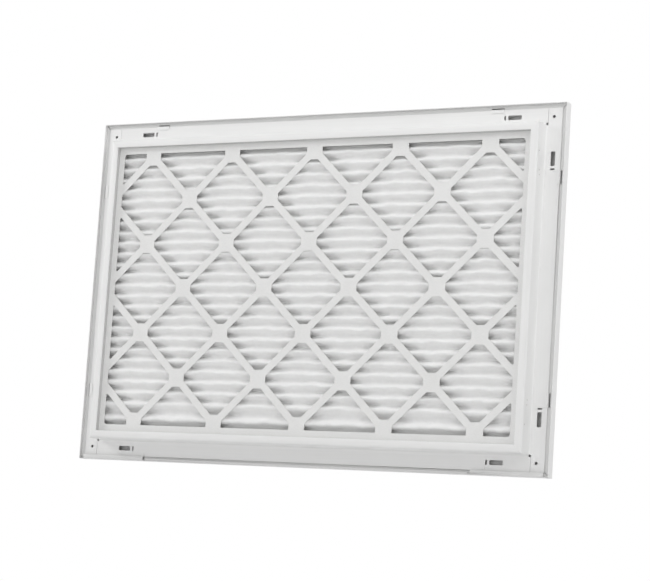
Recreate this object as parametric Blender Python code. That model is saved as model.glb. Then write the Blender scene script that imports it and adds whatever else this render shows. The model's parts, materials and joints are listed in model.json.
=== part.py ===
# Return air filter grille with a hinged louvered door and a pleated filter.
# The grille hangs on a wall: +X right, +Y out of the wall into the room, +Z up.
# The origin is the centre of the duct opening, in the plane of the flange's back face.

import math

import bmesh
import bpy
from mathutils import Matrix, Vector

# Nominal filter size, which the whole grille is made for
NOMINAL_W = 0.635
NOMINAL_H = 0.4064
FILTER_UNDERSIZE = 0.00635      # an actual filter is this much smaller than its nominal size
FILTER_DEPTH = 0.01905
FILTER_FRONT = 0.001            # the filter's front face, ahead of the flange's back face

# Facets round a shaft or knob, round a hole in the sheet and round a clip's foot
ROUND_SIDES = 16
HOLE_SIDES = 12
FOOT_SIDES = 8
MERGE = 1e-6

# Clearances
GAP = 0.0003                    # between pieces that touch
MITRE_GAP = GAP / math.sqrt(2)
DOOR_CLEARANCE = 0.001          # round the door
FILTER_TO_DOOR = 0.0005

# Frame rails, each one strip of sheet: flange, neck wall, lip and the lip's return
SHEET = 0.0008
NECK_MARGIN_W = 0.0035          # neck's outer face beyond the nominal size, each side
NECK_MARGIN_H = 0.0042
FLANGE_REACH = 0.0214
LIP_WIDTH = 0.0108
LIP_RETURN = 0.006
NECK_BEND = 0.0028
RETURN_BEND = 0.0013
FLANGE_SEAM = 0.0026            # where the end rail's flange meets the side rail's, outside the neck

# Mounting slots, lanced slits and corner holes in the flange
SLOT_LENGTH = 0.0185
SLOT_WIDTH = 0.006
SLOT_CORNER_R = 0.0012
SLOT_OUT = 0.0111               # from the neck's outer face
SLOT_INSET = 0.0437             # from the neck's corner
SLIT_LENGTH = 0.006
SLIT_WIDTH = 0.0022
SLIT_INSET = 0.0572
CORNER_HOLE_R = 0.002
CORNER_HOLE_OUT = 0.0101

# Outer trim: rim, face, leg round the door and a foot that lies on the flange
FACE_OVERLAP = 0.03175          # outer edge beyond the nominal size, each side
RIM_BEHIND = 0.0035             # rim's back edge behind the flange's back face
RIM_HEM = 0.0033                # turned in along the bottom rim, between the hooks
RIM_HEM_OUTER = 0.0062          # and from each hook out to the flange's corner
HEM_NOTCH = 0.004               # clear length on the inner side of each hook
RIM_BEVEL = 0.0019
HEM_BEND = 0.001
TRIM_BEND = 0.0012
FOOT_BEND = 0.0009
SEAT_WIDTH = 0.0056             # from the leg to the flange's edge
FOOT_TO_RIM = 0.0006            # the foot closes the trim almost up to the rim
HOOK_LENGTH = 0.0175
HOOK_OVERLAP = 0.004
HOOK_INSET = 0.0678             # from the neck's corner
HOOK_SHEET = 0.0006
HOOK_ROOT = 0.0018              # how far a hook runs back into the foot
HOOK_WINDOW = 0.0014            # hole in the foot that a hook was lanced from

# Door
DOOR_DEPTH = 0.0091
DOOR_RAIL_WIDTH = 0.0248
DOOR_BEND = 0.003
DOOR_INNER_BEND = 0.0013
RAIL_RETURN = 0.0055
HINGE_BEHIND_FACE = 0.0038
HINGE_BELOW_EDGE = 0.004
PIN_R = 0.0015
PIN_HEAD_R = 0.0026
PIN_HEAD_DEPTH = 0.001
PIN_REACH = 0.0025              # past the stile's inner face
STRIP_THICK = 0.0006
STRIP_WIDTH = 0.012
STRIP_COUNT = 3
STRIP_OVERLAP = 0.004

# Louver blades
BLADE_PITCH = 0.0143
BLADE_THICK = 0.0006
BLADE_SETBACK = 0.0016          # blade's front behind the door's face
BLADE_LIP = 0.0022
BLADE_TENON = 0.0016            # past the stile's inner leg
BLADE_MARGIN = 0.0012           # between the end blades and the door rails

# Quarter-turn latches
LATCH_INSET = 0.165             # from the door's outer edge
KNOB_R = 0.0078
KNOB_HEIGHT = 0.0036
KNOB_BEVEL = 0.0015
KNOB_SLOT_WIDTH = 0.0016
KNOB_SLOT_DEPTH = 0.0012
SHAFT_R = 0.003
SHAFT_NECK_R = 0.0019
RIVET_HEAD = 0.0008
CAM_THICK = 0.0015
CAM_LENGTH = 0.018
CAM_HALF_WIDTH = 0.0045
CAM_TIP_BEVEL = 0.0015
CAM_SLOT_CLEARANCE = 0.0004
CAM_TO_DOOR_BACK = 0.0002

# Filter: two nested card halves round a pleated sheet
CARD = 0.0006
CARD_BORDER = 0.0125
LATTICE_STEP_W = 0.0635
LATTICE_STEP_H = 0.061
STRAP_WIDTH = 0.0098
PAD_W = 0.0234
PAD_H = 0.0245
WINDOW_FILLET = 0.0035
FILLET_BELOW = math.radians(100)
WINDOW_LEAST = 0.02             # a sliver of a window narrower than this is left out
HALF_OVERLAP = 0.013            # how deep the front half's walls reach into the back half
PLEAT_PITCH = 0.0147
PLEAT_TIP = 0.0045
MEDIA_THICK = 0.002

# Spring clips that steady the filter, inside the side walls of the neck
CLIP_THICK = 0.0005
CLIP_WIDTH = 0.008
CLIP_BEND = 0.003
CLIP_Y = -0.0155
CLIP_FOOT_Y = -0.014
CLIP_TOE_Y = -0.0178
CLIP_PAIR_INSET = 0.0634        # from the neck's corner to the middle of the two feet
CLIP_PAIR_SPREAD = 0.006
CLIP_TOE_INSET = 0.0364
CLIP_HOLE_R = 0.0011

# Places worked out from the sizes above
filter_w = (NOMINAL_W - FILTER_UNDERSIZE) / 2
filter_h = (NOMINAL_H - FILTER_UNDERSIZE) / 2
filter_back = FILTER_FRONT - FILTER_DEPTH
lip_end = filter_back - GAP
neck_back = lip_end - LIP_RETURN
neck_w = NOMINAL_W / 2 + NECK_MARGIN_W
neck_h = NOMINAL_H / 2 + NECK_MARGIN_H
outer_w = NOMINAL_W / 2 + FACE_OVERLAP
outer_h = NOMINAL_H / 2 + FACE_OVERLAP
door_back = FILTER_FRONT + FILTER_TO_DOOR + STRIP_THICK + GAP
face_y = door_back + DOOR_DEPTH
opening_w = neck_w + FLANGE_REACH - SEAT_WIDTH
opening_h = neck_h + FLANGE_REACH - SEAT_WIDTH
door_w = opening_w - DOOR_CLEARANCE
door_h = opening_h - DOOR_CLEARANCE
field_w = door_w - DOOR_RAIL_WIDTH
field_h = door_h - DOOR_RAIL_WIDTH
foot_back = SHEET + GAP
hem_reach = neck_w + FLANGE_REACH
hem_step = neck_w - HOOK_INSET - HOOK_LENGTH / 2
cam_back = door_back + CAM_TO_DOOR_BACK
leg_back = cam_back + CAM_THICK + GAP
bend_end = FLANGE_SEAM - GAP / 2
hinge = Vector((0, face_y - HINGE_BEHIND_FACE, door_h - HINGE_BELOW_EDGE))
latch_x = door_w - LATCH_INSET
latch_z = -(door_h - DOOR_RAIL_WIDTH / 2)

# A side piece is modelled with its outward direction along local +X, then turned to its side
SIDE_TURN = {"right": 0.0, "top": -math.pi / 2, "left": math.pi, "bottom": math.pi / 2}


def clear_scene():
    for obj in list(bpy.data.objects):
        bpy.data.objects.remove(obj)


def make_material(name, colour, roughness, metallic):
    material = bpy.data.materials.new(name)
    material.use_nodes = True
    shader = material.node_tree.nodes["Principled BSDF"]
    shader.inputs["Base Color"].default_value = (*colour, 1)
    shader.inputs["Roughness"].default_value = roughness
    shader.inputs["Metallic"].default_value = metallic
    return material


# Flat shapes

def bent(corners, radii, steps=3):
    """Rounds the inner corners of an open path; radii holds one radius for each inner corner."""
    path = [Vector(corners[0])]
    for before, corner, after, radius in zip(corners, corners[1:], corners[2:], radii):
        corner = Vector(corner)
        back = (Vector(before) - corner).normalized()
        ahead = (Vector(after) - corner).normalized()
        half = back.angle(ahead) / 2
        reach = radius / math.tan(half)
        centre = corner + (back + ahead).normalized() * radius / math.sin(half)
        first = corner + back * reach - centre
        turn = first.angle_signed(corner + ahead * reach - centre)
        for step in range(steps + 1):
            angle = -turn * step / steps
            spoke = Vector((first.x * math.cos(angle) - first.y * math.sin(angle),
                            first.x * math.sin(angle) + first.y * math.cos(angle)))
            path.append(centre + spoke)
    path.append(Vector(corners[-1]))
    return path


def left_offset(path, distance):
    """The path moved sideways to its left, with mitred corners."""
    normals = []
    for a, b in zip(path, path[1:]):
        along = (b - a).normalized()
        normals.append(Vector((-along.y, along.x)))
    normals = [normals[0]] + normals + [normals[-1]]
    moved = []
    for point, before, after in zip(path, normals, normals[1:]):
        moved.append(point + (before + after) * distance / (1 + before.dot(after)))
    return moved


def rounded_box(centre_a, centre_b, length_a, length_b, radius, steps=2):
    """A rectangle round a centre, with rounded corners."""
    points = []
    for quarter, (sign_a, sign_b) in enumerate(((1, 1), (-1, 1), (-1, -1), (1, -1))):
        corner_a = centre_a + sign_a * (length_a / 2 - radius)
        corner_b = centre_b + sign_b * (length_b / 2 - radius)
        for step in range(steps + 1):
            angle = math.pi / 2 * (quarter + step / steps)
            points.append((corner_a + radius * math.cos(angle), corner_b + radius * math.sin(angle)))
    return points


def disc(centre_a, centre_b, radius, sides):
    turn = 2 * math.pi / sides
    return [(centre_a + radius * math.cos(turn * k), centre_b + radius * math.sin(turn * k))
            for k in range(sides)]


def rectangle(low_a, low_b, high_a, high_b):
    return [(low_a, low_b), (high_a, low_b), (high_a, high_b), (low_a, high_b)]


def without_doubles(points):
    kept = []
    for point in points:
        if not kept or math.dist(point, kept[-1]) > MERGE:
            kept.append(point)
    if math.dist(kept[0], kept[-1]) < MERGE:
        kept.pop()
    return kept


def clipped(polygon, normal, limit):
    """The part of a convex polygon where the dot product with normal is at most limit."""
    kept = []
    for a, b in zip(polygon, polygon[1:] + polygon[:1]):
        side_a = a[0] * normal[0] + a[1] * normal[1] - limit
        side_b = b[0] * normal[0] + b[1] * normal[1] - limit
        if side_a <= 0:
            kept.append(a)
        if side_a * side_b < 0:
            share = side_a / (side_a - side_b)
            kept.append((a[0] + (b[0] - a[0]) * share, a[1] + (b[1] - a[1]) * share))
    return kept


def filleted(polygon, radius):
    """Rounds the corners of a convex polygon that are sharper than a right angle or so."""
    points = []
    for before, corner, after in zip(polygon[-1:] + polygon[:-1], polygon, polygon[1:] + polygon[:1]):
        back = Vector(before) - Vector(corner)
        ahead = Vector(after) - Vector(corner)
        if back.angle(ahead) > FILLET_BELOW:
            points.append(corner)
            continue
        reach = min(radius, 0.4 * back.length, 0.4 * ahead.length)
        start = Vector(corner) + back.normalized() * reach
        end = Vector(corner) + ahead.normalized() * reach
        middle = (start + end) / 4 + Vector(corner) / 2
        points += [tuple(start), tuple(middle), tuple(end)]
    return points


# Solids

def finish_mesh(bm, name):
    bmesh.ops.recalc_face_normals(bm, faces=bm.faces)
    mesh = bpy.data.meshes.new(name)
    bm.to_mesh(mesh)
    bm.free()
    return mesh


def folded_strip(name, path, thickness, ends, order=(0, 1, 2)):
    """A bent sheet: path is one face of it, and the sheet lies to the left of the path.
    ends gives the strip's half length at each distance along the path's first direction."""
    bm = bmesh.new()
    rows = []
    for sign in (-1, 1):
        for face in (path, left_offset(path, thickness)):
            row = []
            for point in face:
                place = (point[0], point[1], sign * ends(point[0]))
                row.append(bm.verts.new([place[k] for k in order]))
            rows.append(row)
    low_outer, low_inner, high_outer, high_inner = rows
    for one, other in ((low_outer, high_outer), (low_inner, high_inner),
                       (low_outer, low_inner), (high_outer, high_inner)):
        for k in range(len(path) - 1):
            bm.faces.new((one[k], one[k + 1], other[k + 1], other[k]))
    for k in (0, -1):
        bm.faces.new((low_outer[k], low_inner[k], high_inner[k], high_outer[k]))
    return finish_mesh(bm, name)


def extruded(name, outlines, low, high, axis):
    """Flat outlines pushed along one axis into prisms, all in one mesh."""
    bm = bmesh.new()
    others = [k for k in range(3) if k != axis]
    for outline in outlines:
        verts = []
        for a, b in outline:
            place = [low, low, low]
            place[others[0]] = a
            place[others[1]] = b
            verts.append(bm.verts.new(place))
        face = bm.faces.new(verts)
        pushed = bmesh.ops.extrude_face_region(bm, geom=[face])["geom"]
        shift = [0, 0, 0]
        shift[axis] = high - low
        bmesh.ops.translate(bm, vec=shift, verts=[v for v in pushed if isinstance(v, bmesh.types.BMVert)])
    return finish_mesh(bm, name)


def turned(name, profile, sides, axis):
    """A profile of (radius, place along the axis) spun round that axis."""
    bm = bmesh.new()
    others = [k for k in range(3) if k != axis]
    verts = []
    for radius, along in profile:
        place = [0, 0, 0]
        place[others[0]] = radius
        place[axis] = along
        verts.append(bm.verts.new(place))
    edges = [bm.edges.new(pair) for pair in zip(verts, verts[1:])]
    direction = [0, 0, 0]
    direction[axis] = 1
    bmesh.ops.spin(bm, geom=verts + edges, cent=(0, 0, 0), axis=direction,
                   angle=2 * math.pi, steps=sides)
    bmesh.ops.remove_doubles(bm, verts=bm.verts, dist=MERGE)
    return finish_mesh(bm, name)


def joined(name, meshes):
    bm = bmesh.new()
    for mesh in meshes:
        bm.from_mesh(mesh)
    return finish_mesh(bm, name)


def moved(mesh, matrix):
    copy = mesh.copy()
    copy.transform(matrix)
    if matrix.determinant() < 0:
        copy.flip_normals()
    return copy


def combined(mesh, tool, operation):
    """The mesh cut by, or united with, the tool mesh."""
    base = bpy.data.objects.new("work", mesh)
    cutter = bpy.data.objects.new("cutter", tool)
    cutter.hide_render = True
    cutter.display_type = "WIRE"
    for obj in (base, cutter):
        bpy.context.scene.collection.objects.link(obj)
    modifier = base.modifiers.new("shape", "BOOLEAN")
    modifier.operation = operation
    modifier.object = cutter
    depsgraph = bpy.context.evaluated_depsgraph_get()
    result = bpy.data.meshes.new_from_object(base.evaluated_get(depsgraph))
    for obj in (base, cutter):
        bpy.data.objects.remove(obj)
    return result


def cut(mesh, side, *tools):
    """Cuts a side piece with tools that are given in the grille's own frame."""
    turn = Matrix.Rotation(-SIDE_TURN[side], 4, "Y")
    for tool in tools:
        mesh = combined(mesh, moved(tool, turn), "DIFFERENCE")
    return mesh


def add_piece(name, mesh, material, location=(0, 0, 0), turn=0.0, parent=None):
    piece = bpy.data.objects.new(name, mesh)
    mesh.materials.clear()
    mesh.materials.append(material)
    bpy.context.scene.collection.objects.link(piece)
    piece.parent = parent
    piece.location = location
    piece.rotation_euler = (0, turn, 0)
    return piece


def add_pivot(name, location, parent=None):
    pivot = bpy.data.objects.new(name, None)
    bpy.context.scene.collection.objects.link(pivot)
    pivot.parent = parent
    pivot.location = location
    return pivot


# Frame rails

def rail_path(outer):
    """From the flange's edge along its back face, down the neck wall, over the lip and forward."""
    flange = [Vector((outer + FLANGE_REACH, 0)), Vector((outer + FLANGE_SEAM, 0))]
    corners = [(outer + bend_end, 0), (outer, 0), (outer, neck_back),
               (outer - LIP_WIDTH, neck_back), (outer - LIP_WIDTH, lip_end)]
    return flange + bent(corners, [bend_end - GAP, NECK_BEND, RETURN_BEND])


def rail_ends(outer, other, flange_end):
    """Mitred at the neck's corner, square across the bend, and longer along the flange."""
    def half_length(u):
        if u > outer + bend_end + GAP / 4:
            return flange_end
        return other - max(outer - u, 0) - MITRE_GAP
    return half_length


def slot_and_slit(across, inset_from, sign_across, sign_along):
    """A mounting slot and its slit, on one side's flange: (across the flange, along it) outlines."""
    middle = sign_across * (across + SLOT_OUT)
    slot = sign_along * (inset_from - SLOT_INSET)
    slit = sign_along * (inset_from - SLIT_INSET)
    return [rounded_box(middle, slot, SLOT_WIDTH, SLOT_LENGTH, SLOT_CORNER_R),
            rectangle(middle - SLIT_LENGTH / 2, slit - SLIT_WIDTH / 2,
                      middle + SLIT_LENGTH / 2, slit + SLIT_WIDTH / 2)]


def flange_cutters():
    """Mounting slots, slits and corner holes, all through the flange."""
    outlines = []
    for sign_x in (-1, 1):
        for sign_z in (-1, 1):
            outlines += slot_and_slit(neck_w, neck_h, sign_x, sign_z)
            for outline in slot_and_slit(neck_h, neck_w, sign_z, sign_x):
                outlines.append([(x, z) for z, x in outline])
            outlines.append(disc(sign_x * (neck_w + CORNER_HOLE_OUT),
                                 sign_z * (neck_h + CORNER_HOLE_OUT), CORNER_HOLE_R, HOLE_SIDES))
    return extruded("flange_cutter", outlines, -SHEET, 2 * SHEET, 1)


def clip_foot_places(sign_z):
    """Height and depth of a clip's three feet."""
    pair = neck_h - CLIP_PAIR_INSET
    return [(CLIP_FOOT_Y, sign_z * (pair - CLIP_PAIR_SPREAD / 2)),
            (CLIP_FOOT_Y, sign_z * (pair + CLIP_PAIR_SPREAD / 2)),
            (CLIP_TOE_Y, sign_z * (neck_h - CLIP_TOE_INSET))]


def clip_hole_cutters():
    outlines = []
    for sign_z in (-1, 1):
        outlines += [disc(y, z, CLIP_HOLE_R, FOOT_SIDES) for y, z in clip_foot_places(sign_z)]
    return [extruded("clip_hole_cutter", outlines, wall - 2 * SHEET, wall + 2 * SHEET, 0)
            for wall in (-neck_w, neck_w)]


def build_rails(steel):
    flange = flange_cutters()
    side_cutter = joined("side_cutter", [flange, *clip_hole_cutters()])
    for side in ("right", "left"):
        name = "side_rail_" + side
        ends = rail_ends(neck_w, neck_h, neck_h + FLANGE_REACH)
        mesh = folded_strip(name, rail_path(neck_w), -SHEET, ends)
        add_piece(name, cut(mesh, side, side_cutter), steel, turn=SIDE_TURN[side])
    for side in ("top", "bottom"):
        name = "end_rail_" + side
        ends = rail_ends(neck_h, neck_w, neck_w + bend_end - GAP)
        mesh = folded_strip(name, rail_path(neck_h), -SHEET, ends)
        add_piece(name, cut(mesh, side, flange), steel, turn=SIDE_TURN[side])


# Outer trim

def trim_path(outer, opening, hemmed):
    """From the rim's back edge, or its hem, round the face to the leg and the foot on the flange."""
    rim = [(outer, -RIM_BEHIND), (outer, face_y - RIM_BEVEL)]
    if hemmed:
        rim = bent([(outer - RIM_HEM_OUTER, -RIM_BEHIND), *rim], [HEM_BEND], 2)
    face = [(outer - RIM_BEVEL, face_y), (opening, face_y), (opening, foot_back),
            (outer - SHEET - FOOT_TO_RIM, foot_back)]
    return [Vector(point) for point in rim] + bent(face, [TRIM_BEND, FOOT_BEND], 2)


def hem_cutters():
    """Narrow the bottom rim's hem between the hooks, with a notch beside each, and clear its ends."""
    top = -outer_h + RIM_HEM_OUTER + SHEET
    outlines = []
    for sign in (-1, 1):
        for start, end, foot in ((hem_reach, outer_w, SHEET), (hem_step - HEM_NOTCH, hem_step, HEM_BEND)):
            low, high = sorted((sign * start, sign * end))
            outlines.append(rectangle(low, -outer_h + foot, high, top))
    middle = rectangle(-hem_step, -outer_h + RIM_HEM, hem_step, top)
    return [extruded("hem_cutter", shapes, -RIM_BEHIND - SHEET, HEM_BEND - RIM_BEHIND, 1)
            for shapes in ([middle], outlines)]


def hook_windows(edge, places):
    """Holes in the foot beside the hooks, on a side piece whose outward direction is +X."""
    low = edge + GAP + 1.5 * HOOK_SHEET
    outlines = [rectangle(low, place - HOOK_LENGTH / 2, low + HOOK_WINDOW, place + HOOK_LENGTH / 2)
                for place in places]
    return extruded("hook_windows", outlines, foot_back - GAP, foot_back + SHEET + GAP, 1)


def hook_mesh(edge, centre):
    """A tongue from the foot, folded back over the flange's edge."""
    back = -GAP - HOOK_SHEET
    front = foot_back + (SHEET + HOOK_SHEET) / 2
    outside = edge + GAP + HOOK_SHEET
    corners = [(edge - HOOK_OVERLAP, back), (outside, back), (outside, front),
               (edge - HOOK_ROOT, front)]
    path = bent(corners, [FOOT_BEND, FOOT_BEND], 2)
    mesh = folded_strip("hook", path, HOOK_SHEET, lambda u: HOOK_LENGTH / 2)
    return moved(mesh, Matrix.Translation((0, 0, centre)))


def latch_slot_cutter():
    """Slots in the bottom leg that the latch cams turn into."""
    outlines = []
    sweep = math.sqrt(CAM_LENGTH ** 2 - (opening_h + latch_z) ** 2)
    for sign in (-1, 1):
        far = sign * (latch_x - sweep - CAM_HALF_WIDTH / 2)
        near = sign * (latch_x + CAM_HALF_WIDTH + DOOR_CLEARANCE)
        outlines.append(rectangle(min(far, near), cam_back - CAM_SLOT_CLEARANCE,
                                  max(far, near), cam_back + CAM_THICK + CAM_SLOT_CLEARANCE))
    return extruded("latch_slot_cutter", outlines, -opening_h - 2 * SHEET, -opening_h + SHEET, 2)


def pin_hole_cutter(low, high):
    """Hinge pin holes on both sides, between two distances from the middle."""
    outline = disc(hinge.y, hinge.z, PIN_R + GAP, ROUND_SIDES)
    return joined("pin_hole_cutter", [extruded("one", [outline], low, high, 0),
                                      extruded("other", [outline], -high, -low, 0)])


def build_trim(steel):
    pin_holes = pin_hole_cutter(opening_w - SHEET, opening_w + 2 * SHEET)
    sizes = {"right": (outer_w, outer_h, opening_w, neck_h, [pin_holes]),
             "left": (outer_w, outer_h, opening_w, neck_h, [pin_holes]),
             "top": (outer_h, outer_w, opening_h, neck_w, []),
             "bottom": (outer_h, outer_w, opening_h, neck_w, [latch_slot_cutter(), *hem_cutters()])}
    for side, (outer, other, opening, neck_other, cutters) in sizes.items():
        def half_length(u, outer=outer, other=other):
            return other - (outer - u) - MITRE_GAP
        path = trim_path(outer, opening, side == "bottom")
        mesh = folded_strip("trim_" + side, path, SHEET, half_length)
        edge = opening + SEAT_WIDTH
        places = [sign * (neck_other - HOOK_INSET) for sign in (-1, 1)]
        for place in places:
            mesh = combined(mesh, hook_mesh(edge, place), "UNION")
        mesh = combined(mesh, hook_windows(edge, places), "DIFFERENCE")
        add_piece("trim_" + side, cut(mesh, side, *cutters), steel, turn=SIDE_TURN[side])


# Filter

def window_outlines():
    """Lattice windows: diamonds between crossing straps, less the pads, inside the card's border."""
    limit_w = filter_w - CARD_BORDER
    limit_h = filter_h - CARD_BORDER
    slope = Vector((LATTICE_STEP_H, LATTICE_STEP_W)).normalized()
    apart = slope.x * LATTICE_STEP_W - STRAP_WIDTH / 2
    columns = math.ceil(limit_w / LATTICE_STEP_W)
    rows = math.ceil(limit_h / LATTICE_STEP_H)
    outlines = []
    for i in range(-columns, columns + 1):
        for j in range(-rows, rows + 1):
            if (i + j) % 2:
                continue
            x = i * LATTICE_STEP_W
            z = j * LATTICE_STEP_H
            window = rectangle(-limit_w, -limit_h, limit_w, limit_h)
            for sign_x in (-1, 1):
                window = clipped(window, (sign_x, 0), sign_x * x + LATTICE_STEP_W - PAD_W / 2)
                window = clipped(window, (0, sign_x), sign_x * z + LATTICE_STEP_H - PAD_H / 2)
                for sign_z in (-1, 1):
                    normal = (sign_x * slope.x, sign_z * slope.y)
                    window = clipped(window, normal, normal[0] * x + normal[1] * z + apart)
            if len(window) > 2:
                window = without_doubles(window)
                if max(x for x, z in window) - min(x for x, z in window) > WINDOW_LEAST:
                    outlines.append(filleted(window, WINDOW_FILLET))
    return outlines


def box(name, half_w, half_h, low, high):
    return extruded(name, [rectangle(-half_w, -half_h, half_w, half_h)], low, high, 1)


def build_filter(card, media):
    windows = window_outlines()
    inside = filter_back + CARD
    rim_end = FILTER_FRONT - CARD - GAP
    tray = box("filter_back_frame", filter_w, filter_h, filter_back, rim_end)
    hollow = box("hollow", filter_w - CARD, filter_h - CARD, inside, rim_end + CARD)
    tray = combined(tray, hollow, "DIFFERENCE")
    tool = extruded("windows", windows, filter_back - CARD, inside + CARD, 1)
    add_piece("filter_back_frame", combined(tray, tool, "DIFFERENCE"), card)

    nested_w = filter_w - CARD - GAP
    nested_h = filter_h - CARD - GAP
    wall_end = FILTER_FRONT - HALF_OVERLAP
    walls = box("walls", nested_w, nested_h, wall_end, FILTER_FRONT - CARD / 2)
    hollow = box("hollow", nested_w - CARD, nested_h - CARD, wall_end - CARD, FILTER_FRONT)
    walls = combined(walls, hollow, "DIFFERENCE")
    plate = box("filter_front_frame", filter_w, filter_h, FILTER_FRONT - CARD, FILTER_FRONT)
    front = combined(plate, walls, "UNION")
    tool = extruded("windows", windows, FILTER_FRONT - 2 * CARD, FILTER_FRONT + CARD, 1)
    add_piece("filter_front_frame", combined(front, tool, "DIFFERENCE"), card)
    build_media(media, nested_w - CARD - GAP, nested_h - CARD - GAP)


def build_media(media, half_w, half_h):
    """One thick sheet in pleats that run across the filter, with their tips at the two card faces."""
    back_tip = filter_back + CARD + GAP + MEDIA_THICK / 2
    front_tip = FILTER_FRONT - CARD - GAP - MEDIA_THICK / 2
    folds = int((half_h - PLEAT_TIP / 2) / (PLEAT_PITCH / 2))
    middle_line = []
    for k in range(-folds, folds + 1):
        depth = back_tip if k % 2 == 0 else front_tip
        middle = k * PLEAT_PITCH / 2
        middle_line += [Vector((middle - PLEAT_TIP / 2, depth)), Vector((middle + PLEAT_TIP / 2, depth))]
    path = left_offset(middle_line, -MEDIA_THICK / 2)
    mesh = folded_strip("filter_media", path, MEDIA_THICK, lambda u: half_w, order=(2, 1, 0))
    add_piece("filter_media", mesh, media)


def build_clips(zinc):
    """Bowed springs between the neck wall and the filter's edge, with feet in holes in the wall."""
    wall = neck_w - SHEET - GAP
    crest = filter_w + GAP + CLIP_THICK
    pair = neck_h - CLIP_PAIR_INSET
    toe = neck_h - CLIP_TOE_INSET
    corners = [(wall, pair - CLIP_PAIR_SPREAD), (wall, pair + CLIP_PAIR_SPREAD),
               (crest, (pair + toe) / 2), (wall, toe - CLIP_WIDTH / 2), (wall, toe + CLIP_WIDTH / 2)]
    path = bent(corners, [CLIP_BEND] * 3, 2)
    bow = folded_strip("bow", path, CLIP_THICK, lambda u: CLIP_WIDTH / 2, order=(0, 2, 1))
    bow = moved(bow, Matrix.Translation((0, CLIP_Y, 0)))
    foot_end = neck_w - GAP
    feet = [disc(y, z, CLIP_HOLE_R - GAP, FOOT_SIDES) for y, z in clip_foot_places(1)]
    bow = combined(bow, extruded("feet", feet, wall - CLIP_THICK / 2, foot_end, 0), "UNION")
    for column, sign_x in (("left", -1), ("right", 1)):
        for row, sign_z in (("bottom", -1), ("top", 1)):
            clip = moved(bow, Matrix.Diagonal((sign_x, 1, sign_z, 1)))
            add_piece("filter_clip_%s_%s" % (row, column), clip, zinc)


# Door

def blade_path():
    """From the blade's back edge down and forward to its front, with a lip turned down."""
    depth = DOOR_DEPTH - BLADE_SETBACK
    start = Vector((BLADE_THICK, depth / 2 - BLADE_THICK))
    return [start, Vector((depth, -depth / 2)), Vector((depth, -depth / 2 - BLADE_LIP))]


def blade_heights():
    depth = DOOR_DEPTH - BLADE_SETBACK
    tall = depth + BLADE_LIP
    count = int((2 * field_h - tall - 2 * BLADE_MARGIN) / BLADE_PITCH) + 1
    middle = BLADE_LIP / 2
    return [middle + (k - (count - 1) / 2) * BLADE_PITCH for k in reversed(range(count))]


def blade_slot_cutter():
    """Blade-shaped slots, a gap wider all round, through both stiles' inner legs."""
    path = left_offset(blade_path(), GAP)
    start = path[0] + (path[0] - path[1]).normalized() * GAP
    end = path[-1] + (path[-1] - path[-2]).normalized() * GAP
    slot = folded_strip("slot", [start, path[1], end], -(BLADE_THICK + 2 * GAP),
                        lambda u: SHEET * 2, order=(2, 0, 1))
    slots = []
    for sign in (-1, 1):
        for height in blade_heights():
            place = Matrix.Translation((sign * (field_w + SHEET / 2), door_back, height))
            slots.append(moved(slot, place))
    return joined("blade_slot_cutter", slots)


def stile_path():
    """Short outer leg, face and an inner leg deep enough to close the blades' slots."""
    inner = door_w - DOOR_RAIL_WIDTH
    corners = [(door_w, leg_back), (door_w, face_y), (inner, face_y),
               (inner, FILTER_FRONT + FILTER_TO_DOOR)]
    return bent(corners, [DOOR_BEND, DOOR_INNER_BEND])


def door_rail_path():
    """Short outer leg, face, inner leg and a return that the strips are fixed to."""
    inner = door_h - DOOR_RAIL_WIDTH
    corners = [(door_h, leg_back), (door_h, face_y), (inner, face_y), (inner, door_back),
               (inner + RAIL_RETURN, door_back)]
    return bent(corners, [DOOR_BEND, DOOR_INNER_BEND, DOOR_INNER_BEND])


def build_door(steel, pivot):
    at_rest = -hinge

    def mitred(outer, other):
        return lambda u: other - (outer - u) - MITRE_GAP

    slots = blade_slot_cutter()
    pin_holes = pin_hole_cutter(door_w - 2 * SHEET, door_w + SHEET)
    for side in ("left", "right"):
        name = "door_stile_" + side
        mesh = folded_strip(name, stile_path(), SHEET, mitred(door_w, door_h))
        add_piece(name, cut(mesh, side, slots, pin_holes), steel, at_rest, SIDE_TURN[side], pivot)
    for side in ("top", "bottom"):
        name = "door_rail_" + side
        mesh = folded_strip(name, door_rail_path(), SHEET, mitred(door_h, door_w))
        cutters = [latch_hole_cutter()] if side == "bottom" else []
        add_piece(name, cut(mesh, side, *cutters), steel, at_rest, SIDE_TURN[side], pivot)
    blade = folded_strip("louver_blade", blade_path(), -BLADE_THICK,
                         lambda u: field_w + SHEET + BLADE_TENON, order=(2, 0, 1))
    for number, height in enumerate(blade_heights(), 1):
        add_piece("louver_blade_%02d" % number, blade, steel,
                  at_rest + Vector((0, door_back, height)), 0, pivot)
    build_strips(steel, pivot)


def build_strips(steel, pivot):
    """Flat strips behind the blades, from the bottom rail's return to the top rail's."""
    reach = field_h + STRIP_OVERLAP
    mesh = extruded("door_strip", [rectangle(-STRIP_WIDTH / 2, -reach, STRIP_WIDTH / 2, reach)],
                    -GAP - STRIP_THICK, -GAP, 1)
    for number in range(1, STRIP_COUNT + 1):
        x = (2 * number / (STRIP_COUNT + 1) - 1) * field_w
        add_piece("door_strip_%d" % number, mesh, steel, -hinge + Vector((x, door_back, 0)), 0, pivot)


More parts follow.
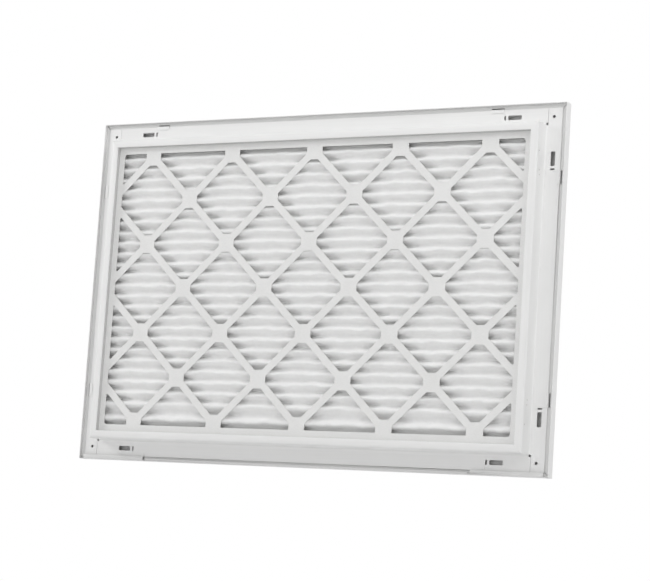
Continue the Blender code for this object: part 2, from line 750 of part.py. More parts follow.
def build_hinge_pins(zinc):
    """Pins through the trim's leg into the stiles, with their heads inside the trim."""
    inner = door_w - SHEET - PIN_REACH
    head = opening_w + SHEET + GAP
    profile = [(0, inner), (PIN_R, inner), (PIN_R, head), (PIN_HEAD_R, head),
               (PIN_HEAD_R, head + PIN_HEAD_DEPTH), (0, head + PIN_HEAD_DEPTH)]
    pin = turned("pin", profile, ROUND_SIDES, 0)
    pin = moved(pin, Matrix.Translation((0, hinge.y, hinge.z)))
    smooth(add_piece("hinge_pin_right", pin, zinc))
    smooth(add_piece("hinge_pin_left", moved(pin, Matrix.Diagonal((-1, 1, 1, 1))), zinc))


# Latches

def latch_hole_cutter():
    outlines = [disc(sign * latch_x, latch_z, SHAFT_R + GAP, ROUND_SIDES) for sign in (-1, 1)]
    return extruded("latch_hole_cutter", outlines, face_y - 2 * SHEET, face_y + SHEET, 1)


def build_latch(side, sign, zinc, steel, door_pivot):
    """A slotted knob through the bottom rail, with a cam riveted to its shaft behind."""
    pivot = add_pivot("latch_pivot_" + side, Vector((sign * latch_x, 0, latch_z)) - hinge, door_pivot)
    under_head = face_y + GAP
    top = under_head + KNOB_HEIGHT
    cam_front = cam_back + CAM_THICK + GAP
    rivet = cam_back - GAP
    profile = [(0, top), (KNOB_R - KNOB_BEVEL, top), (KNOB_R, top - KNOB_BEVEL), (KNOB_R, under_head),
               (SHAFT_R, under_head), (SHAFT_R, cam_front), (SHAFT_NECK_R, cam_front),
               (SHAFT_NECK_R, rivet), (SHAFT_R, rivet), (SHAFT_R, rivet - RIVET_HEAD),
               (0, rivet - RIVET_HEAD)]
    knob = turned("latch_knob_" + side, profile, ROUND_SIDES, 1)
    reach = KNOB_R + SHEET
    slot = extruded("slot", [rectangle(-reach, -KNOB_SLOT_WIDTH / 2, reach, KNOB_SLOT_WIDTH / 2)],
                    top - KNOB_SLOT_DEPTH, top + SHEET, 1)
    smooth(add_piece("latch_knob_" + side, combined(knob, slot, "DIFFERENCE"), steel, parent=pivot))
    cam = extruded("latch_cam_" + side, [cam_outline(-sign)], cam_back, cam_back + CAM_THICK, 1)
    hole = extruded("hole", [disc(0, 0, SHAFT_NECK_R + GAP, HOLE_SIDES)], cam_back - SHEET,
                    cam_back + CAM_THICK + SHEET, 1)
    add_piece("latch_cam_" + side, combined(cam, hole, "DIFFERENCE"), zinc, parent=pivot)


def cam_outline(inner):
    """Round behind the shaft, with a straight arm whose end corners are bevelled."""
    half_turn = ROUND_SIDES // 2
    points = []
    for k in range(half_turn + 1):
        angle = math.pi / 2 + math.pi * k / half_turn
        points.append((inner * CAM_HALF_WIDTH * math.cos(angle), CAM_HALF_WIDTH * math.sin(angle)))
    tip = CAM_HALF_WIDTH - CAM_TIP_BEVEL
    reach = math.sqrt(CAM_LENGTH ** 2 - tip ** 2)
    bevel = reach - CAM_TIP_BEVEL
    return points + [(inner * bevel, -CAM_HALF_WIDTH), (inner * reach, -tip),
                     (inner * reach, tip), (inner * bevel, CAM_HALF_WIDTH)]


def smooth(piece):
    piece.data.shade_smooth()
    piece.data.set_sharp_from_angle(angle=math.radians(35))


def main():
    clear_scene()
    steel = make_material("white_steel", (0.86, 0.86, 0.85), 0.42, 0.0)
    zinc = make_material("zinc_steel", (0.62, 0.62, 0.61), 0.35, 0.9)
    card = make_material("white_card", (0.88, 0.88, 0.87), 0.8, 0.0)
    media = make_material("filter_fibre", (0.85, 0.85, 0.84), 0.95, 0.0)
    build_rails(steel)
    build_trim(steel)
    build_filter(card, media)
    build_clips(zinc)
    build_hinge_pins(zinc)
    door_pivot = add_pivot("door_pivot", hinge)
    build_door(steel, door_pivot)
    for side, sign in (("left", -1), ("right", 1)):
        build_latch(side, sign, zinc, steel, door_pivot)


main()
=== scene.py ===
import json
import math

import bmesh
import bpy
import numpy as np
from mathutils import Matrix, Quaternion, Vector


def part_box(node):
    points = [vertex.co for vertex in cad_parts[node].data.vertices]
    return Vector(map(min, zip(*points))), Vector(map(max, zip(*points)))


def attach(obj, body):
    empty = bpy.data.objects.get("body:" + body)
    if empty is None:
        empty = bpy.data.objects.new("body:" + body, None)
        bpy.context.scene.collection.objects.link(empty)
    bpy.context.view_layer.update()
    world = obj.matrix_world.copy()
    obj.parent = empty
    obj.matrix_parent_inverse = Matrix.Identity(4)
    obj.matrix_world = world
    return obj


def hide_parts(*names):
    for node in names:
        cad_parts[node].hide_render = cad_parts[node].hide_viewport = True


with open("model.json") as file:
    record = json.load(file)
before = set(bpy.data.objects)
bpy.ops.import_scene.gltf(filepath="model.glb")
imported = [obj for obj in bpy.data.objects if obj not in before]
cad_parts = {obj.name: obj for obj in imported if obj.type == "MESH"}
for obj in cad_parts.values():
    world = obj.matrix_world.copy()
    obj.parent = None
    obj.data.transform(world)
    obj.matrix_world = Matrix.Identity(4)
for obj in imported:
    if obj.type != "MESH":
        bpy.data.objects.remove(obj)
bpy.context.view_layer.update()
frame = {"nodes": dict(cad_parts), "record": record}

# The return air filter grille, hanging in the air as it would on a wall: +X right, +Z up, +Y out into the
# room. The camera looks at its duct side, where the filter shows in the neck. Lengths are in metres.

scene = bpy.context.scene
bodyOf = {node: body for body, nodes in frame["record"]["behaviour"]["bodies"].items() for node in nodes}
slotOf = {part["node"]: part["material_slot"] for part in frame["record"]["subparts"]}
print("frame loaded:", len(frame["nodes"]), "nodes")


# Shader wiring

class Wire:
    # one output socket: sums and comparisons written on it add Math nodes to its tree
    def __init__(self, tree, socket):
        self.tree = tree
        self.socket = socket

    @staticmethod
    def add(tree, kind, settings=None, values=None, out=0):
        # any node at all. The settings go in first, because some of them change which sockets it has. A
        # value is a plain one or a Wire, and out says which output comes back.
        node = tree.nodes.new("ShaderNode" + kind)
        for key, value in (settings or {}).items():
            if key == "stops":
                for stop, (place, level) in zip(node.color_ramp.elements, value):
                    stop.position = place
                    stop.color = (level, level, level, 1)
            else:
                setattr(node, key, value)
        for key, value in (values or {}).items():
            if isinstance(value, Wire):
                tree.links.new(value.socket, node.inputs[key])
            else:
                node.inputs[key].default_value = value
        return Wire(tree, node.outputs[out]) if node.outputs else None

    def other(self, out):
        # another output of the same node
        return Wire(self.tree, self.socket.node.outputs[out])

    def sum(self, operation, first, second):
        return Wire.add(self.tree, "Math", {"operation": operation}, {0: first, 1: second})

    def __add__(self, other):
        return self.sum("ADD", self, other)

    def __sub__(self, other):
        return self.sum("SUBTRACT", self, other)

    def __rsub__(self, other):
        return self.sum("SUBTRACT", other, self)

    def __mul__(self, other):
        return self.sum("MULTIPLY", self, other)

    def __abs__(self):
        return self.sum("ABSOLUTE", self, 0.0)

    def __gt__(self, other):
        return self.sum("GREATER_THAN", self, other)

    def __lt__(self, other):
        return self.sum("LESS_THAN", self, other)

    def highest(self, other):
        return self.sum("MAXIMUM", self, other)

    __radd__ = __add__
    __rmul__ = __mul__


def newFinish(name):
    # an empty material, its tree, and the place on the piece in metres
    material = bpy.data.materials.new(name)
    material.use_nodes = True
    tree = material.node_tree
    tree.nodes.clear()
    return material, tree, Wire.add(tree, "TexCoord", out="Object")


def closeFinish(tree, values):
    # one principled surface with these values, led to the output
    surface = Wire.add(tree, "BsdfPrincipled", None, values)
    Wire.add(tree, "OutputMaterial", None, {"Surface": surface})


def tinted(tree, factor, low, high):
    # two colours mixed by the factor; sockets 6 and 7 are the colours, and output 2 is the mixed one
    low = low if isinstance(low, Wire) else (*low, 1)
    return Wire.add(tree, "Mix", {"data_type": "RGBA"}, {"Factor": factor, 6: low, 7: (*high, 1)}, out=2)


def noise(tree, place, scale, detail=2.0, rough=0.5, stretch=(1, 1, 1)):
    # fractal noise whose cells are about 1 / scale metres across, times each axis's stretch
    scales = tuple(scale / long for long in stretch)
    squeezed = Wire.add(tree, "Mapping", None, {"Vector": place, "Scale": scales})
    return Wire.add(tree, "TexNoise", None,
                    {"Vector": squeezed, "Scale": 1.0, "Detail": detail, "Roughness": rough})


def spread(tree, factor, ends):
    # the part of the factor between the two ends, drawn out to run from 0 to 1
    return Wire.add(tree, "ValToRGB", {"stops": [(ends[0], 0), (ends[1], 1)]}, {"Fac": factor})


def bump(tree, height, distance, strength=1.0, under=None):
    # relief of the given depth, on top of the relief under it
    values = {"Strength": strength, "Distance": distance, "Height": height}
    if under:
        values["Normal"] = under
    return Wire.add(tree, "Bump", None, values)


# Mesh making

def gridFaces(rows, columns, wrap=False):
    # quads between neighbours on a grid of points numbered row by row
    steps = columns if wrap else columns - 1
    row, column = np.meshgrid(np.arange(rows - 1), np.arange(steps), indexing="ij")
    first = (row * columns + column).ravel()
    second = (row * columns + (column + 1) % columns).ravel()
    return np.column_stack([first, second, second + columns, first + columns])


def closedSheet(name, near, far):
    # two grids of the same size as the two faces of a sheet, joined round their borders. near faces the
    # way that its columns cross its rows.
    rows, columns = near.shape[:2]
    front = gridFaces(rows, columns)
    numbers = np.arange(rows * columns).reshape(rows, columns)
    ring = np.concatenate([numbers[0, :-1], numbers[:-1, -1], numbers[-1, :0:-1], numbers[:0:-1, 0]])
    after = np.roll(ring, -1)
    rim = np.column_stack([after, ring, ring + rows * columns, after + rows * columns])
    faces = np.vstack([front, front[:, ::-1] + rows * columns, rim])
    return newPiece(name, np.vstack([near.reshape(-1, 3), far.reshape(-1, 3)]), faces.tolist())


def newPiece(name, points, faces):
    # points is an array with a row for each point, and faces is a list
    mesh = bpy.data.meshes.new(name)
    mesh.from_pydata(points.tolist(), [], faces)
    mesh.validate()
    mesh.update()
    return placed(name, mesh)


def placed(name, data):
    # an object for a mesh, a lamp or the camera, linked to the scene
    piece = bpy.data.objects.new(name, data)
    scene.collection.objects.link(piece)
    return piece


def readPoints(mesh):
    # a mesh's points as an array with a row for each point
    points = np.empty(len(mesh.vertices) * 3, dtype=np.float32)
    mesh.vertices.foreach_get("co", points)
    return points.reshape(-1, 3)


def writePoints(mesh, points):
    mesh.vertices.foreach_set("co", points.ravel())
    mesh.update()


def shadeSoft(mesh, degrees):
    # smooth shading, apart from the edges that turn more than this
    mesh.shade_smooth()
    mesh.set_sharp_from_angle(angle=math.radians(degrees))


soften = {
    "merge": 2e-6,        # points nearer than this are one
    "flat": 0.5,          # degrees, how flat two triangles lie to be one quad
    "skew": 40,           # degrees, how far such a quad may be from a rectangle
    "turn": 35,           # degrees, edges that turn more than this are rounded
    "segments": 2,
    "cornerTurn": 95,     # degrees, corners of a window's outline that turn more than this are tight
    "cornerSegments": 5,
    "through": 0.999,     # how nearly an edge has to run straight through the board
}


def softened(node, width, corner=None, mitre=None):
    # a copy of a CAD node: its loose triangles merged into quads where they are flat, its edges rounded
    work = bmesh.new()
    work.from_mesh(frame["nodes"][node].data)
    bmesh.ops.remove_doubles(work, verts=work.verts, dist=soften["merge"])
    bmesh.ops.join_triangles(work, faces=work.faces, angle_face_threshold=math.radians(soften["flat"]),
                             angle_shape_threshold=math.radians(soften["skew"]))
    if corner:
        roundCorners(work, corner)
    mesh = bpy.data.meshes.new(node + "Soft")
    work.to_mesh(mesh)
    work.free()
    if mitre:
        closeMitre(mesh, *mitre)
    piece = placed(node + "Soft", mesh)
    rounding = piece.modifiers.new("rounding", "BEVEL")
    rounding.width = width
    rounding.segments = soften["segments"]
    rounding.limit_method = "ANGLE"
    rounding.angle_limit = math.radians(soften["turn"])
    rounding.use_clamp_overlap = False
    rounding.harden_normals = True
    shadeSoft(mesh, soften["turn"])
    return piece


def roundCorners(work, radius):
    # the tight corners of the die-cut windows: edges straight through the board, where the outline turns
    # sharply
    sharp = [edge for edge in work.edges if len(edge.link_faces) == 2
             and abs((edge.verts[0].co - edge.verts[1].co).normalized().y) > soften["through"]
             and edge.calc_face_angle(0) > math.radians(soften["cornerTurn"])]
    bmesh.ops.bevel(work, geom=sharp, offset=radius, offset_type="OFFSET", profile=0.5,
                    segments=soften["cornerSegments"], affect="EDGES", clamp_overlap=True)


def settle(piece, node, finish):
    # the piece stands for its CAD node, with its body and its material slot
    piece.data.materials.clear()
    piece.data.materials.append(finish)
    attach(piece, bodyOf[node])
    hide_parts(node)


# Camera and lights

viewFrom = {
    "place": (1.33667, -2.37408, -0.34974),
    "target": (0.01937, 0.0, -0.00175),
    "roll": 3.7807,       # degrees, how far the picture is tilted
    "lens": 115.484,
    "sensor": 36.0,
}


def makeCamera():
    # looks from its place at the target, then turns about that line of sight by the roll
    data = bpy.data.cameras.new("camera")
    data.lens = viewFrom["lens"]
    data.sensor_width = viewFrom["sensor"]
    camera = placed("camera", data)
    facing = (Vector(viewFrom["target"]) - Vector(viewFrom["place"])).to_track_quat("-Z", "Y")
    camera.location = viewFrom["place"]
    camera.rotation_mode = "QUATERNION"
    camera.rotation_quaternion = facing @ Quaternion((0, 0, 1), math.radians(viewFrom["roll"]))
    scene.camera = camera


studio = {
    "worldLevel": 0.41,   # soft light from all round
    "lamps": [            # name, place, watts, width, height; each faces the middle of the grille
        ("leftLamp", (-2.2, -0.8, 0.9), 18.5, 0.5, 0.5),
        ("rightLamp", (2.4, -0.6, 0.5), 4.0, 1.2, 1.2),
        ("frontLamp", (0.6, -2.5, 1.3), 4.5, 1.2, 1.0),
        ("lowLamp", (0.4, -2.6, -0.3), 6.5, 1.2, 0.4),
        ("rightTopLamp", (1.4, -0.5, 0.8), 4.4, 0.6, 0.6),
        ("topLamp", (0.2, -0.5, 1.2), 2.5, 0.8, 0.5),
        ("roomLamp", (-1.0, 2.0, 2.2), 22, 1.2, 1.0),
        ("roomFillLamp", (2.2, 1.8, 0.2), 4, 1.2, 1.2),
    ],
}


def makeLamps():
    # soft rectangles of light
    for name, place, watts, width, height in studio["lamps"]:
        lamp = bpy.data.lights.new(name, "AREA")
        lamp.shape = "RECTANGLE"
        lamp.size = width
        lamp.size_y = height
        lamp.energy = watts
        holder = placed(name, lamp)
        holder.location = place
        holder.rotation_mode = "QUATERNION"
        holder.rotation_quaternion = (-Vector(place)).to_track_quat("-Z", "Y")


def makeWorld():
    # white to the camera, in mirrors and through glass, and at its own level as a light
    world = bpy.data.worlds.new("studio")
    world.use_nodes = True
    tree = world.node_tree
    tree.nodes.clear()
    seen = Wire.add(tree, "LightPath", out="Is Camera Ray")
    shown = seen.highest(seen.other("Is Glossy Ray")).highest(seen.other("Is Transmission Ray"))
    level = shown * (1 - studio["worldLevel"]) + studio["worldLevel"]
    sky = Wire.add(tree, "Background", None, {"Color": (1, 1, 1, 1), "Strength": level})
    Wire.add(tree, "OutputWorld", None, {"Surface": sky})
    scene.world = world


# The floor, a plain disc well below the grille

ground = {
    "height": -0.65,
    "radius": 3.2,
    "rings": 4,
    "sides": 96,
    "fadeFrom": 1.2,      # metres from the middle where it starts to fade
    "fadeTo": 3.0,        # and where it is as white as the world
    "colour": (0.84, 0.84, 0.84),
    "shade": (0.8, 0.8, 0.8),
    "cloud": 2.0,         # cells per metre
    "rough": 0.9,
}


def makeFloor():
    # evenly spaced rings, each a full turn of points, round one point in the middle
    turn = np.linspace(0, 2 * math.pi, ground["sides"], endpoint=False)
    radius = ground["radius"] * np.linspace(0, 1, ground["rings"] + 1)[1:]
    ring = np.stack([np.outer(radius, np.cos(turn)), np.outer(radius, np.sin(turn))], -1).reshape(-1, 2)
    points = np.column_stack([ring, np.full(len(ring), ground["height"])])
    points = np.vstack([points, [[0, 0, ground["height"]]]])
    step = np.arange(len(turn))
    middle = np.column_stack([np.full(len(turn), len(points) - 1), step, np.roll(step, -1)])
    faces = gridFaces(len(radius), len(turn), wrap=True).tolist() + middle.tolist()
    floor = newPiece("floor", points, faces)
    floor.data.materials.append(floorFinish())


def floorFinish():
    # pale paint, and away from the middle more and more of a white glow, which only the camera sees
    material, tree, place = newFinish("paleFloor")
    colour = tinted(tree, noise(tree, place, ground["cloud"]), ground["shade"], ground["colour"])
    paint = Wire.add(tree, "BsdfPrincipled", None, {"Base Color": colour, "Roughness": ground["rough"]})
    glow = Wire.add(tree, "Emission", None, {"Color": (1, 1, 1, 1), "Strength": 1.0})
    away = Wire.add(tree, "VectorMath", {"operation": "LENGTH"}, {0: place}, out="Value")
    fade = Wire.add(tree, "MapRange", {"interpolation_type": "SMOOTHSTEP"},
                    {"Value": away, "From Min": ground["fadeFrom"], "From Max": ground["fadeTo"]})
    seen = Wire.add(tree, "LightPath", out="Is Camera Ray")
    surface = Wire.add(tree, "MixShader", None, {0: fade * seen, 1: paint, 2: glow})
    Wire.add(tree, "OutputMaterial", None, {"Surface": surface})
    return material


# White powder-coated sheet steel

steel = {
    "colour": (0.894, 0.894, 0.889),
    "shade": (0.863, 0.863, 0.858),
    "streak": 520,        # rolling streaks per metre, across the strip
    "stretch": 60,        # how many times as long a streak is
    "streakShare": 0.55,  # of the tone; the cloud has the rest
    "streakHeight": 0.00001,
    "cloud": 14,          # cells per metre
    "toneEnds": (0.35, 0.62),
    "peel": 1400,         # orange-peel cells per metre
    "peelHeight": 0.000012,
    "rough": 0.41,
    "roughCloud": 0.1,    # what the cloud and the streaks add to it at most
    "roughStreak": 0.08,
    "coat": 0.06,
    "coatRough": 0.45,
    "edge": 0.00018,      # how far an edge is rounded
    # painted shade: the coat is painted greyer where shade falls, in the trim's channel and inside the
    # rails' mouth. For each: which corner of the rails' boxes it is measured from, how far out from there,
    # between which depths, and the colour of the painted shade
    "channelPaintedShade": {"corner": 1, "near": 0.0, "far": 0.0061, "low": -1.0, "high": 0.0015,
                "colour": (0.76, 0.76, 0.755)},
    "mouthPaintedShade": {"corner": 0, "near": -1.0, "far": 0.0003, "low": -0.0239, "high": 0.0,
              "colour": (0.54, 0.54, 0.535)},
    # the gap at a mitre, measured as |x| - |z|, what share of it each end is run on, and how near to the
    # cut a point of the end has to lie, as a share too
    "mitre": {"gap": 0.000212, "reach": 0.95, "near": 1 / 6},
    # the free edge of a trim's foot: how far in from the rim's outer face it lies and how near to that a
    # point has to be, between which depths, and how far it is moved out
    "foot": {"short": 0.0014, "near": 0.0001, "low": 0.001, "high": 0.0021, "move": 0.00055},
}


def coatFinish(name, along, paintedShadeZone):
    # streaks run along the axis that the sheet was rolled on: 0 for X, 2 for Z. Shade is painted into the
    # colour, greyer, in the trim's channel, between the flange's edge and the rim, and inside the rails'
    # mouth.
    material, tree, place = newFinish(name)
    stretch = tuple(steel["stretch"] if axis == along else 1 for axis in range(3))
    streaks = noise(tree, place, steel["streak"], 3, 0.6, stretch)
    cloud = noise(tree, place, steel["cloud"], 3)
    peel = noise(tree, place, steel["peel"], 1)
    mottle = streaks * steel["streakShare"] + cloud * (1 - steel["streakShare"])
    tone = spread(tree, mottle, steel["toneEnds"])
    colour = tinted(tree, tone, steel["shade"], steel["colour"])
    x = Wire.add(tree, "SeparateXYZ", None, {0: place}, out="X")
    y = x.other("Y")
    z = x.other("Z")
    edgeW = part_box("side_rail_right")[paintedShadeZone["corner"]].x
    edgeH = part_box("end_rail_top")[paintedShadeZone["corner"]].z
    past = (abs(x) - edgeW).highest(abs(z) - edgeH)
    # painted shade: inside this zone the colour is greyed where shade falls in the channel or the mouth
    paintedShadeMask = (past > paintedShadeZone["near"]) * (past < paintedShadeZone["far"]) * (y > paintedShadeZone["low"]) * (y < paintedShadeZone["high"])
    colour = tinted(tree, paintedShadeMask, colour, paintedShadeZone["colour"])
    gloss = cloud * steel["roughCloud"] + streaks * steel["roughStreak"] + steel["rough"]
    rolled = bump(tree, streaks, steel["streakHeight"])
    skin = bump(tree, peel, steel["peelHeight"], under=rolled)
    closeFinish(tree, {"Base Color": colour, "Roughness": gloss, "Normal": skin,
                       "Coat Weight": steel["coat"], "Coat Roughness": steel["coatRough"]})
    return material


def closeMitre(mesh, offset, upright):
    # points on a mitred end, where |x| - |z| is offset plus or minus the gap, run on along the strip until
    # the two strips meet
    gap = steel["mitre"]["gap"]
    points = readPoints(mesh)
    away = np.abs(points[:, 0]) - np.abs(points[:, 2]) - offset
    side = 1 if upright else -1
    axis = 2 if upright else 0
    found = np.abs(away - side * gap) < gap * steel["mitre"]["near"]
    points[found, axis] += np.sign(points[found, axis]) * gap * steel["mitre"]["reach"]
    writePoints(mesh, points)


def closeFoot(mesh, outer, upright):
    # the free edge of a trim's foot, which stands just short of the rim, moved out to it
    foot = steel["foot"]
    points = readPoints(mesh)
    axis = 0 if upright else 2
    short = outer - np.abs(points[:, axis]) - foot["short"]
    found = (np.abs(short) < foot["near"]) & (points[:, 1] > foot["low"]) & (points[:, 1] < foot["high"])
    points[found, axis] += np.sign(points[found, axis]) * foot["move"]
    writePoints(mesh, points)


def makeSteel(node):
    # a rail, trim, door piece, blade or knob. The strips of the neck and of the trim are mitred. Upright
    # pieces were rolled along Z, the others along X.
    isTrim = node.startswith("trim")
    side, end = ("trim_right", "trim_top") if isTrim else ("side_rail_right", "end_rail_top")
    halfW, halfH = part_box(side)[1].x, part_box(end)[1].z
    upright = node.endswith(("_left", "_right")) and not node.startswith("latch") or "strip" in node
    isMitred = node.startswith(("trim", "side_rail", "end_rail"))
    piece = softened(node, steel["edge"], mitre=(halfW - halfH, upright) if isMitred else None)
    if isTrim:
        closeFoot(piece.data, halfW if upright else halfH, upright)
    return piece, coats[isTrim, upright]


# Zinc-plated clips, pins and cams

zinc = {
    "colour": (0.42, 0.415, 0.4),
    "shade": (0.26, 0.255, 0.25),
    "cloud": 120,         # cells per metre
    "toneEnds": (0.3, 0.7),
    "cloudHeight": 0.00002,
    "flake": 700.0,       # flakes per metre
    "rough": 0.28,
    "roughFlake": 0.15,   # what a flake adds to it at most
    "metal": 0.9,
    "edge": 0.00012,      # how far an edge is rounded
}


def zincFinish():
    # clouded grey metal, with small flakes that differ in gloss
    material, tree, place = newFinish("zincPlate")
    flakes = Wire.add(tree, "TexVoronoi", None, {"Vector": place, "Scale": zinc["flake"]}, out="Distance")
    cloud = noise(tree, place, zinc["cloud"], 4)
    colour = tinted(tree, spread(tree, cloud, zinc["toneEnds"]), zinc["shade"], zinc["colour"])
    skin = bump(tree, cloud, zinc["cloudHeight"], 0.6)
    closeFinish(tree, {"Base Color": colour, "Metallic": zinc["metal"],
                       "Roughness": flakes * zinc["roughFlake"] + zinc["rough"], "Normal": skin})
    return material


# Die-cut card

card = {
    "colour": (0.86, 0.86, 0.852),
    "shade": (0.82, 0.82, 0.81),
    "fibre": 900,         # fibres per metre
    "fibreShare": 0.6,    # of the tone; the cloud has the rest
    "fibreHeight": 0.00004,
    "cloud": 30,          # cells per metre
    "cloudHeight": 0.0009,
    "toneEnds": (0.36, 0.58),
    "rough": 0.6,
    "roughCloud": 0.12,   # what the cloud adds to it at most
    "edge": 0.0001,       # how far an edge is rounded
    "corner": 0.0016,     # how far a window's tight corners are rounded
}


def cardFinish():
    # white board with fine fibres along X, and a slow sway of its surface
    material, tree, place = newFinish("whiteCard")
    fibres = noise(tree, place, card["fibre"], 4, 0.65, (3, 1, 1))
    cloud = noise(tree, place, card["cloud"], 3)
    tone = spread(tree, fibres * card["fibreShare"] + cloud * (1 - card["fibreShare"]), card["toneEnds"])
    colour = tinted(tree, tone, card["shade"], card["colour"])
    board = bump(tree, fibres, card["fibreHeight"], 0.8)
    sway = bump(tree, cloud, card["cloudHeight"], 0.6, board)
    closeFinish(tree, {"Base Color": colour, "Roughness": cloud * card["roughCloud"] + card["rough"],
                       "Normal": sway})
    return material


# Pleated fibre sheet

pleats = {
    "pitch": 0.0147,
    "lift": 0.003,        # the folds stand this much higher than an even spread
    "thick": 0.0098,      # of the lofty sheet, measured through the filter
    "columns": 140,
    "stepsPerFold": 6,
    "flatness": 1.0,      # more gives flatter tips and steeper walls
    "fill": 0.45,         # how far a valley lofts up in an open window
    "pinch": 0.8,         # how far a valley is pressed thin beside a strap
    "ending": 1.0,        # half folds at the top and bottom that stay back in the frame
    "endingOver": 0.8,    # half folds over which they get there
    "sag": 0.0055,        # how far the lowest fold hangs down
    "sagFrom": 4,         # half folds above the lowest edge where the sag starts
    "sagOver": 2,         # half folds over which it grows
    "calm": 1.5,          # half folds at the top and bottom edge over which lift, wave and sag die out
    "wave": 0.0012,       # how far a fold wanders up and down between the straps
    "held": 0.25,         # share of the wandering that is left under a strap
    "waveLengths": (0.061, 0.0343, 0.0207),
    "waveSizes": (0.5, 0.35, 0.2),
    "waveTune": (0.85, 1.2),   # a fold's waves are closer together by a factor between these
    "swell": 0.0007,      # how far a fold stands out in an open window
    "swellEven": 0.6,     # share of the swell that is even; the rest follows the wandering
    "swellShift": 3,      # columns by which it runs behind the wandering
    "smooth": 70,         # degrees, edges that turn less than this are shaded smooth
    "seed": 7,
    "colour": (0.92, 0.92, 0.916),
    "shade": (0.86, 0.86, 0.855),
    "felt": 1500,         # cells per metre
    "strand": 700,
    "cloud": 55,
    "toneShares": (0.35, 0.25, 0.4),   # of felt, strands and cloud
    "toneEnds": (0.36, 0.6),
    "fluffHeight": 0.00022,
    "creaseHeight": 0.002,
    "rough": 0.95,
    "sheen": 0.15,
    "glow": 0.4,          # share of the light that passes into the fibre
    "glowDepth": 0.006,
}
lattice = {
    "stepW": 0.0635,
    "stepH": 0.061,
    "strap": 0.0098,
    "border": 0.0125,
    "rise": 0.014,        # how far from a strap or the border a window is fully open
}


def openness(x, z):
    # 0 under a strap or the border of the card lattice, rising to 1 in the middle of a window. The straps
    # lie where x / stepW + z / stepH, or x / stepW - z / stepH, is an odd number.
    across = lattice["stepW"] * lattice["stepH"] / math.hypot(lattice["stepW"], lattice["stepH"])
    rising = np.abs((x / lattice["stepW"] - z / lattice["stepH"]) % 2 - 1) * across
    falling = np.abs((x / lattice["stepW"] + z / lattice["stepH"]) % 2 - 1) * across
    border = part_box("filter_back_frame")[1].x - lattice["border"] - np.abs(x)
    nearest = np.minimum(np.minimum(rising, falling) - lattice["strap"] / 2, border)
    share = np.clip(nearest / lattice["rise"], 0, 1)
    return share * share * (3 - 2 * share)


def foldWander(x, count):
    # for each fold its own sum of sines along X, between about -1 and 1
    chance = np.random.default_rng(pleats["seed"])
    lengths = np.array(pleats["waveLengths"])
    sizes = np.array(pleats["waveSizes"])
    phase = chance.uniform(0, 2 * math.pi, (count, 1, len(lengths)))
    tune = chance.uniform(*pleats["waveTune"], (count, 1, len(lengths)))
    return (np.sin(2 * math.pi * x[None, :, None] * tune / lengths + phase) * sizes).sum(-1)


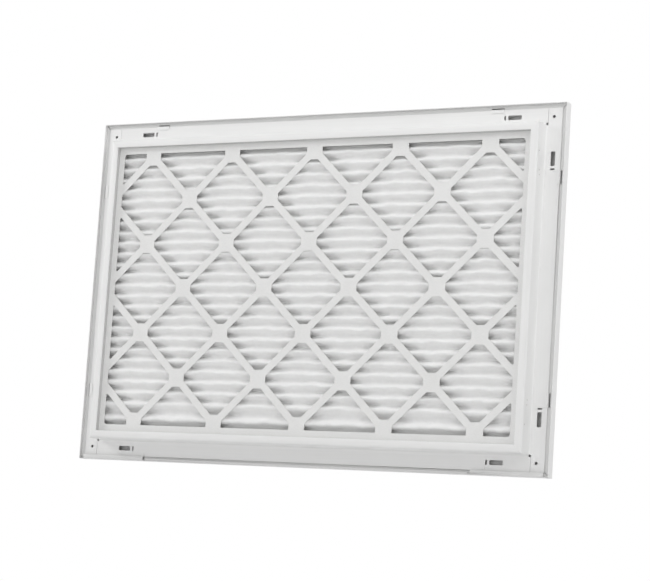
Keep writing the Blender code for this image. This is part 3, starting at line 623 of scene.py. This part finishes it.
def makePleats():
    # The middle of the sheet: its depth follows a flattened cosine of its height, one for each pleat, each
    # fold wanders up and down, and the lowest one sags. Its two faces lie half a thickness in front and
    # behind. along counts half folds from the middle, so even numbers are crests and odd ones valleys.
    low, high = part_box("filter_media")
    halfPitch = pleats["pitch"] / 2
    x = np.linspace(low.x, high.x, pleats["columns"])
    last = round((high.z - halfPitch / 2) / halfPitch)
    fold = np.linspace(-last, last, 2 * last * pleats["stepsPerFold"] + 1)
    across, along = np.meshgrid(x, fold)

    # height, with each fold's wandering blended into the next one's
    folds = np.arange(-last, last + 1)
    wander = foldWander(x, len(folds))
    below = np.clip(np.floor(fold).astype(int) + last, 0, len(folds) - 2)
    share = (fold - folds[below])[:, None]
    drift = wander[below] * (1 - share) + wander[below + 1] * share
    loose = openness(across, along * halfPitch)
    calm = np.clip((last - np.abs(along)) / pleats["calm"], 0, 1)
    free = pleats["held"] + (1 - pleats["held"]) * loose
    sag = pleats["sag"] * np.clip((pleats["sagFrom"] - last - along) / pleats["sagOver"], 0, 1)
    height = along * halfPitch + (pleats["lift"] + pleats["wave"] * drift * free - sag) * calm

    # depth: 1 is a crest at the duct side, -1 a valley
    swing = np.tanh(pleats["flatness"] * np.cos(math.pi * along)) / math.tanh(pleats["flatness"])
    ending = np.clip((np.abs(along) - last + pleats["ending"]) / pleats["endingOver"], 0, 1)
    swing = swing * (1 - ending) - ending
    loose = loose * (1 - ending)
    swing = swing - pleats["fill"] * loose * np.clip(swing, -1, 0)
    uneven = pleats["swellEven"] + (1 - pleats["swellEven"]) * np.roll(drift, pleats["swellShift"], axis=1)
    swell = pleats["swell"] * np.clip(swing, 0, 1) ** 2 * loose * uneven
    reach = (high.y - low.y - pleats["thick"]) / 2
    depth = (low.y + high.y) / 2 - swing * reach - swell

    half = pleats["thick"] / 2
    pressed = 1 - pleats["pinch"] * (1 - loose) * np.clip(-swing, 0, 1)
    near = np.stack([across, depth - half * pressed, height], -1)
    far = np.stack([across, depth + half, height], -1)
    sheet = closedSheet("pleatedSheet", near, far)
    shadeSoft(sheet.data, pleats["smooth"])
    return sheet


def fibreFinish():
    # felt with longer strands along X, creased where its cloud is, and lit a little from inside
    material, tree, place = newFinish("softFibre")
    felt = noise(tree, place, pleats["felt"], 5, 0.7)
    strands = noise(tree, place, pleats["strand"], 3, 0.6, (4, 1, 1))
    cloud = noise(tree, place, pleats["cloud"], 4, 0.6)
    feltShare, strandShare, cloudShare = pleats["toneShares"]
    tone = spread(tree, felt * feltShare + strands * strandShare + cloud * cloudShare, pleats["toneEnds"])
    colour = tinted(tree, tone, pleats["shade"], pleats["colour"])
    fluff = bump(tree, felt + strands, pleats["fluffHeight"], 0.7)
    crease = bump(tree, cloud, pleats["creaseHeight"], 0.8, fluff)
    closeFinish(tree, {"Base Color": colour, "Roughness": pleats["rough"], "Normal": crease,
                       "Sheen Weight": pleats["sheen"], "Sheen Roughness": 0.5,
                       "Subsurface Weight": pleats["glow"], "Subsurface Scale": pleats["glowDepth"],
                       "Subsurface Radius": (1, 1, 1)})
    return material


# Putting it together

makeCamera()
makeLamps()
makeWorld()
makeFloor()
scene.view_settings.view_transform = "Standard"
print("studio ready:", len(studio["lamps"]), "lamps")

coats = {   # by whether the piece is a trim, and whether it is upright
    # the rails' coats carry painted shade inside their mouth, the trims' coats carry it in their channel
    (False, False): coatFinish("whiteCoatLevel", 0, steel["mouthPaintedShade"]),
    (False, True): coatFinish("whiteCoatUpright", 2, steel["mouthPaintedShade"]),
    (True, False): coatFinish("whiteCoatLevelTrim", 0, steel["channelPaintedShade"]),
    (True, True): coatFinish("whiteCoatUprightTrim", 2, steel["channelPaintedShade"]),
}
zincPlate = zincFinish()
whiteCard = cardFinish()
softFibre = fibreFinish()
print("finishes ready:", len(coats) + 3)

for node in sorted(frame["nodes"]):
    if node == "filter_media":
        settle(makePleats(), node, softFibre)
    elif slotOf[node] == "white_card":
        settle(softened(node, card["edge"], corner=card["corner"]), node, whiteCard)
    elif slotOf[node] == "zinc_steel":
        settle(softened(node, zinc["edge"]), node, zincPlate)
    else:
        piece, coat = makeSteel(node)
        settle(piece, node, coat)
print("pieces dressed")
